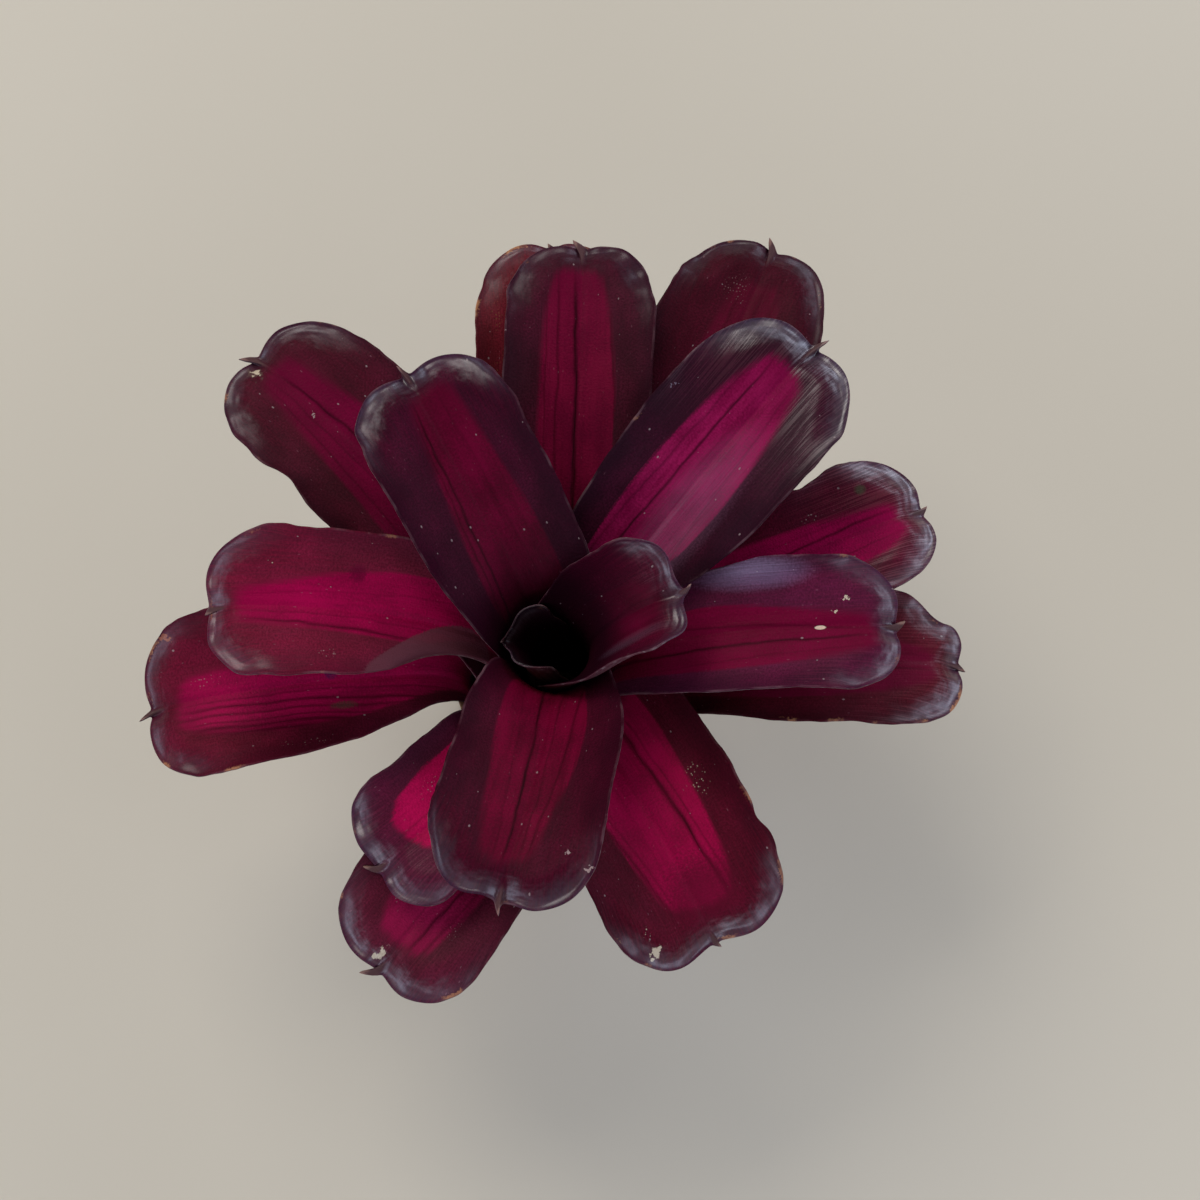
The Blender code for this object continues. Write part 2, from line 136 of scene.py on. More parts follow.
# From the youngest, rolled round the tank, to the oldest, lowest leaf. Each row starts with the
# azimuth, reach, throat, rise, width, sheath, cup and waist.
LEAVES = (
    Leaf(180, 7.8, 49, (78, 60), 18, 19, 4.8, 1.0, bend=-1, spine=1.2, lip=0.3),
    Leaf(9, 20, 49, (74, 38), 25, 25, 9, 1.0, bend=1.5, hook=0.2, lip=0.45),
    Leaf(271, 44, 45, (52, 14), 28, 21, 18, 0.88, bend=-9, spine=2.6, hook=0.5,
         bites=((-1, 0.08, 0.15, 4), (1, 0.1, 0.18, 4))),
    Leaf(122, 46, 45, (46, 16), 27, 21, 18, 0.95, bend=-1, spine=2.5, bites=((1, 0.05, 0.2, 3.6),)),
    Leaf(0, 54, 43, (36, 0), 23, 27, 15, 0.85, bend=1, spine=1.9, hook=0.8,
         bites=((1, 0.14, 0.26, 8.5),)),
    Leaf(167, 54, 41, (36, 6), 26, 27, 16, 0.9, bend=9, spine=0.8, hook=0.5,
         bites=((1, 0.25, 0.25, 9), (-1, 0.12, 0.15, 1.5)), rolls=((1, 0.3, 0.2, 3),)),
    Leaf(47, 60, 42, (36, 14), 28, 30, 22, 0.8, spine=2.8, hook=-0.6,
         bites=((-1, 0.13, 0.25, 7.5),)),
    Leaf(299, 55, 38, (32, -8), 31, 34, 22, 0.95, bend=-1, notch=2.2, spine=1.1,
         bites=((1, 0.72, 0.04, 0.9),)),
    Leaf(132, 69, 36, (28, 2), 28, 34, 22, 0.95, bend=5, hook=1.4, bites=((1, 0.72, 0.05, 1.3),)),
    Leaf(21, 64, 37, (24, 1), 24, 34, 20, 0.75, spine=1.4, bites=((1, 0.70, 0.09, 2.2),)),
    Leaf(243, 44, 35, (32, 4), 24, 34, 16, 0.8, bend=-10, spine=1.8, hook=-1.5),
    Leaf(84, 68, 33, (30, 7), 26, 34, 18, 0.8, bend=3, spine=1.8, hook=1.4),
    Leaf(359, 66, 32, (24, -4), 23, 36, 20, 0.6, spine=1.4, hook=-0.5,
         bites=((1, 0.93, 0.05, 2.0),)),
    Leaf(185, 67, 32, (22, -6), 29, 36, 20, 0.5, bend=3, spine=2.5, hook=0.7,
         bites=((1, 0.2, 0.3, 5),)),
    Leaf(57, 77, 32, (24, 4), 28, 36, 30, 0.5, bend=7, hook=1.2, bites=((1, 0.3, 0.3, 3),)),
    Leaf(251, 57, 30, (22, -6), 27, 36, 22, 0.7, bend=-11, hook=-1.8),
    Leaf(91, 71, 31, (26, 4), 26, 36, 24, 0.6, spine=1.0, bites=((-1, 0.45, 0.3, 4),)),
)


@dataclass
class Look:
    """How one leaf is coloured: the band down its middle, its margins, its age and its marks.

    bright, deep: the band's colour where it is light and where it is dark
    margin: colour of the margins
    band: its two edges, in millimetres from the midrib, first at 0.4 and then at 0.9 of the blade
    age: wear of the edge and strength of the pale flecks, from 0 to 1
    sheen: slate colour of the tip, partly painted sheen, painted sheen on its streaks, and its
    gloss, from 0 to 1
    end: how far the band stays from the outline of the tip
    strength: how much the band differs from the margins, from 0 to 1
    shade: how far up the blade the painted shade of the tank reaches
    lines: dark veins (place across at 0.4, place at 0.9, half width, strength)
    marks: kind, place across, distance from the throat, half width, half length, colour; a fold
        is placed by its distance from the margin instead, on the side with positive places
    """

    bright: tuple
    deep: tuple
    margin: tuple
    band: tuple
    age: float
    sheen: float
    end: float = 3.4
    strength: float = 1.0
    shade: float = 0.26
    lines: tuple = ()
    marks: tuple = ()


# Colours are linear, in thousandths.
SLATE_AND_SHEEN = (70, 43, 85)
CREAM = (600, 500, 360)
TAN = (460, 210, 100)
# The colour of the painted shade in the tank.
TANK_SHADE = (10, 1, 4)
PALE = (360, 250, 240)
RUST = (200, 85, 35)

LOOKS = (
    # leaf_01 lies deep in the tank, and its colours are painted near black for the shade there.
    Look((60, 1, 12), (23, 1, 6), (16, 2, 5),
         ((-4, 4), (-3, 3)), 0.0, 0.9, strength=0.4, shade=1.25),
    Look((130, 1, 22), (55, 1, 9), (55, 3, 13),
         ((-6, 6), (-4, 4)), 0.1, 0.7, strength=0.6, shade=0.75, lines=((0.8, 0.8, 0.3, 0.5),),
         marks=(("painted_sheen", -5.0, 20.0, 1.2, 7.0, (100, 60, 90)),)),
    Look((156, 1, 23), (77, 1, 12), (46, 3, 11),
         ((-8.2, 8.3), (-5.8, 3.0)), 0.25, 0.62, end=4.5,
         lines=((-1.5, -1.0, 0.28, 0.8), (1.6, 1.2, 0.2, 0.4), (4.6, 2.2, 0.24, 0.5),
                (-4.4, -2.6, 0.2, 0.25)),
         marks=(("spot", 11.4, 47.4, 0.5, 0.35, PALE), ("spot", 8.7, 45.6, 0.28, 0.3, PALE))),
    Look((124, 1, 21), (59, 1, 10), (38, 3, 12),
         ((-7.6, 5.8), (-5.8, 2.9)), 0.15, 0.65, end=3.0, shade=0.5,
         lines=((3.4, 1.8, 0.24, 0.7), (4.6, 2.5, 0.18, 0.4), (-3.4, -2.4, 0.24, 0.18))),
    Look((160, 1, 28), (115, 1, 19), (72, 8, 26),
         ((-8.2, 5.2), (-5.2, 2.4)), 0.35, 0.7, end=2.6,
         lines=((-2.8, -1.8, 0.26, 0.75), (1.2, -0.6, 0.24, 0.4), (-5.6, -3.6, 0.18, 0.22)),
         marks=(("painted_sheen", 9.0, 36.0, 2.5, 8.0, (330, 250, 460)),
                ("seed", -0.3, 45.7, 0.42, 1.0, (620, 450, 340)),
                ("spot", 2.2, 48.2, 0.22, 0.42, CREAM), ("spot", 4.2, 49.9, 0.2, 0.66, CREAM))),
    Look((331, 1, 51), (192, 1, 30), (130, 8, 24),
         ((-8.5, 4.5), (-3.4, 3.2)), 0.45, 0.55,
         lines=((3.6, 2.4, 0.3, 0.7), (1.4, 1.0, 0.18, 0.3), (-3.6, -1.6, 0.2, 0.2)),
         marks=(("dust", -7.1, 49.0, 0.6, 0.9, CREAM), ("dust", 8.2, 40.4, 1.2, 1.5, PALE),
                ("fold", 0.0, 23.5, 4.9, 11.5, (105, 30, 42)),
                ("soft", -6.0, 36.5, 1.6, 1.4, (100, 1, 20)))),
    Look((264, 6, 64), (136, 1, 29), (30, 4, 12),
         ((-7.9, 9.2), (-4.2, 6.2)), 0.2, 0.95, end=4.4,
         lines=((3.6, 3.2, 0.26, 0.8), (6.4, 5.2, 0.26, 0.4), (-4.8, -2.2, 0.22, 0.3),
                (1.2, 1.2, 0.18, 0.15)),
         marks=(("painted_sheen", -2.4, 34.0, 4.6, 15.0, (240, 75, 160)),
                ("spot", 12.7, 47.7, 0.25, 0.5, (160, 120, 160)))),
    Look((351, 2, 51), (198, 2, 29), (74, 4, 13),
         ((-10.0, 8.8), (-4.4, 7.4)), 0.55, 0.66, end=5.8,
         lines=((3.3, 5.4, 0.42, 0.8), (4.9, 6.7, 0.2, 0.4), (-9.2, -3.8, 0.4, 0.6),
                (-7.6, -2.8, 0.2, 0.3)),
         marks=(("soft", 1.5, 46.0, 6.5, 6.0, (100, 3, 17)),
                ("dust", 9.7, 30.5, 1.7, 3.0, CREAM), ("spot", -9.2, 50.8, 0.7, 0.9, CREAM),
                ("dust", -9.6, 48.0, 0.9, 1.4, CREAM))),
    Look((154, 1, 27), (99, 1, 18), (56, 6, 13),
         ((-8.2, 8.8), (-4.2, 4.2)), 0.5, 0.45,
         lines=((-2.4, 0.0, 0.26, 0.7), (2.8, 1.6, 0.2, 0.3), (6.2, 3.0, 0.2, 0.35)),
         marks=(("spot", 2.1, 68.6, 0.95, 1.5, (85, 40, 36)),
                ("spot", 2.1, 68.6, 0.55, 1.0, CREAM), ("spot", 1.4, 56.5, 0.25, 0.3, PALE))),
    Look((391, 2, 70), (224, 2, 44), (82, 5, 18),
         ((-9.0, 5.2), (-6.2, 3.2)), 0.4, 1.0, end=3.6,
         lines=((0.4, 1.3, 0.26, 0.75), (-4.4, -2.6, 0.2, 0.4), (3.0, 2.2, 0.16, 0.2)),
         marks=(("dust", 4.9, 44.9, 1.0, 1.6, PALE),
                ("soft", 6.2, 54.0, 0.9, 1.0, (50, 60, 30)))),
    Look((520, 4, 79), (270, 2, 41), (78, 9, 25),
         ((-10.5, 6.5), (-8.2, 3.0)), 0.4, 0.7, end=6.2, lines=((-2.0, -1.4, 0.2, 0.25),),
         marks=(("dust", -5.0, 23.5, 1.3, 1.8, (420, 200, 240)),)),
    Look((181, 3, 30), (109, 1, 19), (48, 6, 14),
         ((-8.5, 6.5), (-4.9, 6.9)), 0.4, 0.26, end=3.6,
         lines=((-0.2, 1.0, 0.36, 0.85), (3.3, 3.8, 0.26, 0.5), (5.2, 6.1, 0.2, 0.4),
                (-7.8, -4.4, 0.26, 0.55))),
    Look((190, 3, 36), (110, 3, 19), (80, 7, 14),
         ((-8.0, 5.5), (-6.0, 3.5)), 0.9, 0.8, end=4.0, strength=0.8,
         lines=((-2.3, -1.4, 0.24, 0.5), (1.4, 0.8, 0.2, 0.3))),
    Look((390, 2, 62), (200, 2, 34), (108, 6, 19),
         ((-6.2, 9.3), (-4.2, 7.2)), 0.7, 0.35, end=4.4,
         lines=((3.4, 2.0, 0.3, 0.7), (4.8, 3.3, 0.24, 0.6), (1.6, 0.9, 0.2, 0.4),
                (6.2, 4.5, 0.2, 0.5), (7.4, 5.4, 0.4, 0.7), (8.8, 6.6, 0.7, 0.8)),
         marks=(("soft", -2.9, 44.4, 0.75, 0.8, (12, 1, 6)),
                ("soft", -1.2, 33.2, 1.1, 1.1, (50, 10, 60)),
                ("dust", -2.7, 52.4, 1.2, 3.0, (420, 160, 180)),
                ("dust", 11.0, 38.0, 0.8, 4.4, (340, 240, 200)),
                ("spot", -10.3, 58.2, 0.5, 1.1, (300, 90, 50)),
                ("soft", 4.6, 31.6, 0.8, 2.4, (85, 45, 32)))),
    Look((128, 3, 23), (70, 3, 12), (46, 4, 10),
         ((-8.5, 5.5), (-7.0, 4.0)), 0.65, 0.36, end=6.5, strength=0.85,
         lines=((-1.8, -1.6, 0.4, 0.4), (2.6, 2.0, 0.3, 0.3)),
         marks=(("dust", 2.8, 66.0, 2.6, 3.0, (200, 100, 100)),)),
    Look((360, 8, 67), (180, 4, 33), (78, 9, 20),
         ((-8.0, 7.5), (-6.4, 5.4)), 0.6, 0.68, end=4.4, strength=0.85,
         lines=((3.9, 1.6, 0.36, 0.7), (6.0, 3.6, 0.24, 0.4), (0.6, -0.6, 0.2, 0.3)),
         marks=(("spot", -1.5, 46.8, 0.5, 1.2, CREAM), ("dust", 5.8, 37.6, 1.1, 1.6, PALE),
                ("dust", -5.0, 38.5, 0.8, 1.2, PALE))),
    Look((143, 13, 15), (110, 8, 12), (125, 12, 18),
         ((-8.0, 8.0), (-5.0, 5.0)), 1.0, 0.4, end=4.0, strength=0.4,
         marks=(("dust", 9.0, 53.4, 1.6, 4.0, RUST), ("dust", 8.4, 44.0, 1.8, 4.0, RUST))),
)

# The edge of a mark: how uneven it is, where it starts and ends as a squared distance from the
# middle, and the mark's strength.
MARK_EDGES = {"fold": (0.2, 0.86, 1.0, 0.85), "spot": (1.6, 0.7, 1.3, 0.85),
              "painted_sheen": (0.8, -0.3, 1.8, 0.28), "soft": (1.3, 0.0, 1.4, 0.7)}
MARK_HEIGHTS = {"seed": 0.4, "spot": 0.06, "dust": 0.06}


def smooth(x):
    """Ease from 0 to 1 as x runs from 0 to 1."""
    x = np.clip(x, 0.0, 1.0)
    return x * x * (3.0 - 2.0 * x)


def ripples(x, y, size, seed, waves=9):
    """Soft irregular waves: sines of plane waves with random directions and sizes near size."""
    draw = np.random.default_rng(seed)
    turn = draw.uniform(0.0, 2 * math.pi, waves)
    phase = draw.uniform(0.0, 2 * math.pi, waves)
    pitch = 2 * math.pi / (size * draw.uniform(0.7, 1.6, waves))
    x, y = np.asarray(x)[..., None], np.asarray(y)[..., None]
    plane = np.sin(pitch * (x * np.cos(turn) + y * np.sin(turn)) + phase)
    return np.mean(plane, -1) * math.sqrt(waves)


def sheath_spread(z):
    """How far a sheath stands out at height z: drawn in at the foot and swollen at half height."""
    foot = FOOT_TAPER * (smooth(z / FOOT_HEIGHT) - 1.0)
    return foot + BULGE * np.sin(math.pi * np.clip(z / BULGE_HEIGHT, 0.0, 1.0))


def stem_radius(z):
    """Radius of the stem at height z above its shoulder."""
    top = FIRST_RADIUS + sheath_spread(STEM_TOP) - SHEATH_THICK / 2 - SHEATH_GAP
    return STEM_RADIUS + (top - STEM_RADIUS) * (z - STEM_SHOULDER) / (STEM_TOP - STEM_SHOULDER)


def root_height(radius):
    """Height where a sheath of this radius meets the stem."""
    heights = np.linspace(STEM_SHOULDER, STEM_TOP, 81)
    room = radius + sheath_spread(heights) - SHEATH_THICK / 2 - SHEATH_GAP - stem_radius(heights)
    return float(np.interp(0.0, room, heights))


def sheath_angle(leaf, radius):
    """Half the angle that a sheath covers at GIRTH_HEIGHT, in degrees."""
    return math.degrees(leaf.sheath / 2 / (radius + sheath_spread(GIRTH_HEIGHT)))


def stack_sheaths(leaves):
    """Give each sheath the smallest radius that clears the younger ones it crosses."""
    done = []
    for leaf in leaves:
        for younger in done:
            apart = abs((leaf.azimuth - younger.azimuth + 180.0) % 360.0 - 180.0)
            reach = sheath_angle(leaf, younger.radius) + sheath_angle(younger, younger.radius)
            if apart < min(reach, 180.0):
                leaf.radius = max(leaf.radius, younger.radius + SHEATH_THICK + SHEATH_GAP)
        done.append(leaf)


class Midrib:
    """The middle line of a leaf: points, a sideways unit vector and an upper normal, by length.

    The line climbs the sheath's profile, then bends to the blade's own slope. The blade's length
    is its reach over the mean cosine of its slope, and it drifts sideways with the length's square.
    """

    STEPS = 400

    def __init__(self, leaf):
        sheath_z = np.linspace(root_height(leaf.radius), leaf.throat, self.STEPS // 2)
        sheath = np.stack([leaf.radius + sheath_spread(sheath_z), sheath_z], 1)
        lean_out, lean_up = sheath[-1] - sheath[-2]
        throat_slope = math.atan2(lean_up, lean_out)
        low, high = np.radians(leaf.rise)
        share = np.linspace(0.0, 1.0, self.STEPS // 2)
        fall = low - throat_slope + (high - low) * smooth(share)
        slope = throat_slope + fall * smooth(share / FLARE_SHARE)
        middle = (slope[1:] + slope[:-1]) / 2
        length = (leaf.reach - sheath[-1, 0]) / float(np.mean(np.cos(middle)))
        steps = np.stack([np.cos(middle), np.sin(middle)], 1) * length / len(middle)
        line = np.concatenate([sheath, sheath[-1] + np.cumsum(steps, 0)])

        along = np.concatenate([[0.0], np.cumsum(np.linalg.norm(np.diff(line, axis=0), axis=1))])
        self.sheath_length = float(along[len(sheath) - 1])
        self.blade_length = length
        self.length = float(along[-1])
        blade = np.clip((along - self.sheath_length) / length, 0.0, 1.0)
        self.along = along
        self.points = np.stack([line[:, 0], leaf.bend * blade ** 2, line[:, 1]], 1)
        tangent = np.gradient(self.points, along, axis=0)
        tangent /= np.linalg.norm(tangent, axis=1)[:, None]
        across = np.array([0.0, 1.0, 0.0]) - tangent * tangent[:, 1:2]
        across /= np.linalg.norm(across, axis=1)[:, None]
        normal = np.cross(tangent, across)

        # Sections lie level in the sheath and square to the midrib in the blade.
        square = smooth(blade / SQUARE_SHARE)[:, None]
        lift = normal * square + np.array([-1.0, 0.0, 0.0]) * (1.0 - square)
        self.across = across
        self.lift = lift / np.linalg.norm(lift, axis=1)[:, None]
        self.forward = np.cross(self.across, self.lift)
        self.tilt = np.arcsin(np.clip(np.sum(normal * self.forward, 1), -1.0, 1.0))

    def at(self, values, where):
        """Read a quantity of the midrib at any length, beyond the tip as well."""
        inside = np.clip(where, 0.0, self.along[-1])
        if values.ndim == 1:
            return np.interp(inside, self.along, values)
        out = np.stack([np.interp(inside, self.along, values[:, i]) for i in range(3)], -1)
        if values is self.points:
            direction = (values[-1] - values[-2]) / (self.along[-1] - self.along[-2])
            out += (where - inside)[..., None] * direction
        return out


def edge_map(arc, along):
    """Distance from each point of a leaf to its outline, and the nearest place on the outline.

    The outline runs up one margin, round the tip and down the other. On each straight piece of it
    the nearest point is the foot of the perpendicular, held between the piece's ends.
    """
    outline = np.concatenate([
        np.stack([arc[:, 0], along[:, 0]], 1), np.stack([arc[-1, 1:-1], along[-1, 1:-1]], 1),
        np.stack([arc[::-1, -1], along[::-1, -1]], 1)])
    start, step = outline[:-1], np.diff(outline, axis=0)
    lengths = np.linalg.norm(step, axis=1)
    passed = np.concatenate([[0.0], np.cumsum(lengths)[:-1]])
    point = np.stack([arc.ravel(), along.ravel()], 1)[:, None, :] - start[None]
    foot = np.clip(np.sum(point * step, -1) / np.maximum(lengths ** 2, 1e-9), 0.0, 1.0)
    apart = np.linalg.norm(point - foot[..., None] * step, axis=-1)
    nearest = np.argmin(apart, 1)
    rows = np.arange(len(nearest))
    place = passed[nearest] + foot[rows, nearest] * lengths[nearest]
    return apart[rows, nearest].reshape(arc.shape), place.reshape(arc.shape)


def leaf_grid(leaf, rib):
    """A flat leaf: places across and along it, in rows from base to tip, and the grid's v and u.

    The tip is a square mapped on half a superellipse: x = v sqrt(1 - u^2/2), y = u sqrt(1 - v^2/2).
    Rows crowd towards the foot and the tip, and columns towards the midrib and the margins.
    """
    half = leaf.width / 2
    tip_length = rib.blade_length * (1.0 - WIDEST_SHARE)
    body_end = rib.length - tip_length
    t = np.linspace(-1.0, 1.0, COLUMNS)
    v = t - 0.55 * np.sin(2 * math.pi * t) / (2 * math.pi)
    body = np.concatenate([rib.sheath_length * (np.arange(SHEATH_ROWS) / SHEATH_ROWS) ** 1.4,
                           np.linspace(rib.sheath_length, body_end, BLADE_ROWS, endpoint=False)])
    u = (1.0 - (1.0 - np.linspace(0.0, 1.0, TIP_ROWS + 1)) ** 1.5)[:, None]

    place = (body - rib.sheath_length) / (body_end - rib.sheath_length)
    height = np.minimum(rib.at(rib.points, body)[:, 2], leaf.throat)
    girth = leaf.radius + sheath_spread(GIRTH_HEIGHT)
    sheath = leaf.sheath / 2 * (leaf.radius + sheath_spread(height)) / girth
    lower = sheath + (half * leaf.waist - sheath) * smooth(body / (rib.sheath_length + 4.0))
    wide = lower + (half - lower) * smooth(place)

    x = v * np.sqrt(1.0 - u ** 2 / 2)
    y = u * np.sqrt(1.0 - v ** 2 / 2)
    blunt = (np.abs(x) ** TIP_BLUNTNESS + np.abs(y) ** TIP_BLUNTNESS) ** (1.0 / TIP_BLUNTNESS)
    grow = np.hypot(x, y) / np.maximum(blunt, 1e-6)
    x, y = x * grow, y * grow
    dent = leaf.notch * u ** 3 * np.exp(-(x / NOTCH_SHARE) ** 2)

    arc = np.concatenate([wide[:, None] * v, half * x])
    along = np.concatenate([np.repeat(body[:, None], COLUMNS, 1), body_end + tip_length * y - dent])
    u = np.concatenate([np.zeros(len(body)), u[:, 0]])[:, None]
    return arc, along, np.repeat(v[None, :], len(arc), 0), u


def leaf_surface(leaf, number):
    """The fine surface of a leaf, as rows from the base to the tip.

    Across the leaf each row is an arc whose radius is the sheath's below and the cup's above.
    """
    rib = Midrib(leaf)
    arc, along, v, u = leaf_grid(leaf, rib)
    side = np.sign(v[:1])
    blade = (along - rib.sheath_length) / rib.blade_length

    # Dents and wear of the margins.
    for which, where, extent, depth in leaf.bites:
        near = np.exp(-((blade - where) / extent) ** 2) * (side == which)
        arc = arc - which * depth * near * v ** 2
    uneven = ripples(along, side * 40.0, 9.0, number)
    uneven = uneven + 0.35 * ripples(along, side * 30.0, 2.6, number + 50)
    arc = arc - side * MARGIN_WEAR * uneven * np.abs(v) ** 10 * smooth(blade / 0.15)
    edge, rim = edge_map(arc, along)

    # Curvature across the leaf.
    height = np.minimum(rib.at(rib.points, along)[..., 2], leaf.throat)
    open_up = smooth(blade / OPEN_SHARE + 0.05)
    bow = (1.0 - open_up) / (leaf.radius + sheath_spread(height)) + open_up / leaf.cup
    angle = bow * arc
    across = np.sin(angle) / bow
    rise = (1.0 - np.cos(angle)) / bow

    # Waves and turned-down margins.
    outer = np.clip((np.abs(v) - 0.3) / 0.7, 0.0, 1.0) ** 2
    wave = WAVE_HEIGHTS[0] * np.sin(3 * math.pi * blade + side * 1.3)
    wave = wave + WAVE_HEIGHTS[1] * ripples(along, side * 25.0, 11.0, number + 20)
    rise = rise + wave * smooth(blade / 0.4) * outer
    for which, where, extent, amount in leaf.rolls:
        near = np.exp(-((blade - where) / extent) ** 2) * (side == which) * outer
        rise = rise - amount * near
        across = across - which * 0.5 * amount * near

    # The lip round the tip, shoulders and valley at the notch, puckers, and the midrib's groove.
    tip = smooth((blade - 0.68) / 0.24)
    from_end = rib.length - along
    lip = leaf.lip * LIP_DROP * (1.0 + 0.25 * ripples(rim, 0 * rim, 8.0, number + 60)) * tip
    lip = lip * smooth(1.0 - edge / LIP_WIDTH) ** 1.3
    beside = (np.abs(arc) - SHOULDER_PLACE) / SHOULDER_WIDTH
    shoulder = np.exp(-beside ** 2 - (from_end / SHOULDER_LENGTH) ** 2)
    valley = np.exp(-(arc / VALLEY_WIDTH) ** 2 - (from_end / VALLEY_LENGTH) ** 2)
    pucker = ripples(edge * 2.4, rim * 0.55, 3.0, number + 70) * smooth(1.0 - edge / 6.5) * tip
    swell = ripples(arc, along * 0.18, 5.5, number + 90) * smooth(blade / 0.3)
    groove = GROOVE_DEPTH * np.exp(-(arc / GROOVE_WIDTH) ** 2)
    groove = groove * smooth((blade + 0.1) / 0.3) * smooth(from_end / 5.0)
    relief = (-lip + SHOULDER_HEIGHT * shoulder - VALLEY_DEPTH * valley + PUCKER_HEIGHT * pucker
              + SWELL_HEIGHT * swell - 0.5 * groove)

    # The hooked spine is drawn out of the middle of the last rows.
    pull = smooth((u - (1.0 - SPINE_ROWS)) / SPINE_ROWS)
    pull = np.exp(-(np.abs(arc) / SPINE_WIDTH) ** 1.7) * pull
    beyond = 0.85 * leaf.spine * pull
    hook = (leaf.hook + 0.3 * np.sign(leaf.hook)) * pull ** 2.0

    where = along + beyond
    across_way = rib.at(rib.across, where)
    lift_way = rib.at(rib.lift, where)
    sideways = across * (1.0 - 0.25 * pull) + hook
    points = rib.at(rib.points, where) + across_way * sideways[..., None]
    points = points + lift_way * rise[..., None]
    tilt = rib.at(rib.tilt, where)[..., None]
    level = lift_way * np.cos(angle)[..., None] - across_way * np.sin(angle)[..., None]
    normals = level * np.cos(tilt) + rib.at(rib.forward, where) * np.sin(tilt)
    points = points + normals * (relief + 0.2 * beyond + 0.07 * beyond ** 2)[..., None]

    thick = FINE_SHEATH_THICK + (BLADE_THICK - FINE_SHEATH_THICK) * smooth(blade / 0.3)
    thick = MARGIN_THICK + (thick - MARGIN_THICK) * smooth(edge / 6.0) ** 0.7
    thick = thick + 0.20 * pull * (1.0 - pull ** 2)

    turn = math.radians(leaf.azimuth)
    spin = np.array([[math.cos(turn), math.sin(turn), 0], [-math.sin(turn), math.cos(turn), 0],
                     [0, 0, 1]])
    return {"points": points @ spin, "normals": normals @ spin, "thick": thick, "groove": groove,
            "arc": arc, "along": along - rib.sheath_length, "edge": edge, "rim": rim,
            "share": blade + beyond / rib.blade_length, "spine": pull}


def slab(points, upper, lower, edge_out):
    """Close a grid into a thin body with a round edge.

    points are the middle surface, upper and lower the offsets of the two faces, and edge_out how
    far the round edge stands beyond the outline. Returns vertices, quads, the middle point that
    each vertex belongs to, and which quads are on the lower face.
    """
    rows, columns = points.shape[:2]
    count = rows * columns
    grid = np.arange(count).reshape(rows, columns)
    rim = np.concatenate([grid[0], grid[1:, -1], grid[-1, -2::-1], grid[-2:0:-1, 0]])
    inner = grid[np.clip(rim // columns, 1, rows - 2), np.clip(rim % columns, 1, columns - 2)]
    flat = points.reshape(-1, 3)
    out = flat[rim] - flat[inner]
    out = out / np.maximum(np.linalg.norm(out, axis=1)[:, None], 1e-6) * edge_out
    verts = np.concatenate([(points + upper).reshape(-1, 3), (points + lower).reshape(-1, 3),
                            flat[rim] + out])
    source = np.concatenate([np.arange(count), np.arange(count), rim])

    top = np.stack([grid[:-1, :-1], grid[:-1, 1:], grid[1:, 1:], grid[1:, :-1]], -1).reshape(-1, 4)
    rim_after = np.roll(rim, -1)
    ring = 2 * count + np.arange(len(rim))
    ring_after = np.roll(ring, -1)
    high = np.stack([rim, ring, ring_after, rim_after], 1)
    low = np.stack([ring, rim + count, rim_after + count, ring_after], 1)
    quads = np.concatenate([top, top[:, ::-1] + count, high, low])
    under = np.repeat([False, True, False, True], [len(top), len(top), len(rim), len(rim)])
    return verts, quads, source, under


def add_object(name, data):
    """Put an object into the scene."""
    made = bpy.data.objects.new(name, data)
    bpy.context.scene.collection.objects.link(made)
    return made


def add_mesh(node, verts, quads, materials, under=None, uv_maps=(), values=()):
    """Make a smooth mesh object from arrays in millimetres and let it stand for a node.

    under tells which quads have the second material. uv_maps are pairs of millimetres and values
    are numbers, with a name and one row for each vertex.
    """
    mesh = bpy.data.meshes.new(node + "_fine")
    corners = quads.ravel()
    mesh.vertices.add(len(verts))
    mesh.vertices.foreach_set("co", (verts * MM).astype(np.float32).ravel())
    mesh.loops.add(len(corners))
    mesh.loops.foreach_set("vertex_index", corners.astype(np.int32))
    mesh.polygons.add(len(quads))
    mesh.polygons.foreach_set("loop_start", np.arange(0, len(corners), 4, dtype=np.int32))
    mesh.polygons.foreach_set("loop_total", np.full(len(quads), 4, np.int32))
    mesh.update(calc_edges=True)
    for material in materials:
        mesh.materials.append(material)
    if under is not None:
        mesh.polygons.foreach_set("material_index", under.astype(np.int32))
    mesh.polygons.foreach_set("use_smooth", np.ones(len(quads), bool))
    for title, *pair in uv_maps:
        layer = mesh.uv_layers.new(name=title)
        pairs = np.stack(pair, 1) / UV_SPAN
        layer.data.foreach_set("uv", pairs[corners].astype(np.float32).ravel())
    for title, numbers in values:
        layer = mesh.attributes.new(title, "FLOAT", "POINT")
        layer.data.foreach_set("value", numbers.astype(np.float32))
    mesh.validate()
    piece = add_object(mesh.name, mesh)
    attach(piece, "root")
    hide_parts(node)


def build_leaf(number, leaf, look):
    """Close a leaf's fine surface into a slab, thick at the midrib and thin at the margins."""
    form = leaf_surface(leaf, number)
    half = form["thick"][..., None] / 2
    upper = form["normals"] * (half - form["groove"][..., None] * 0.5)
    lower = -form["normals"] * (half + form["groove"][..., None] * 0.3)
    verts, quads, source, under = slab(form["points"], upper, lower, MARGIN_THICK * 0.4)
    arc, along, edge, rim, share, spine = (
        form[title].ravel()[source] for title in ("arc", "along", "edge", "rim", "share", "spine"))
    materials = leaf_skin(number, look), leaf_back()
    add_mesh(f"leaf_{number:02d}", verts, quads, materials, under,
             (("skin", arc, along), ("rim", edge, rim)), (("share", share), ("spine", spine)))


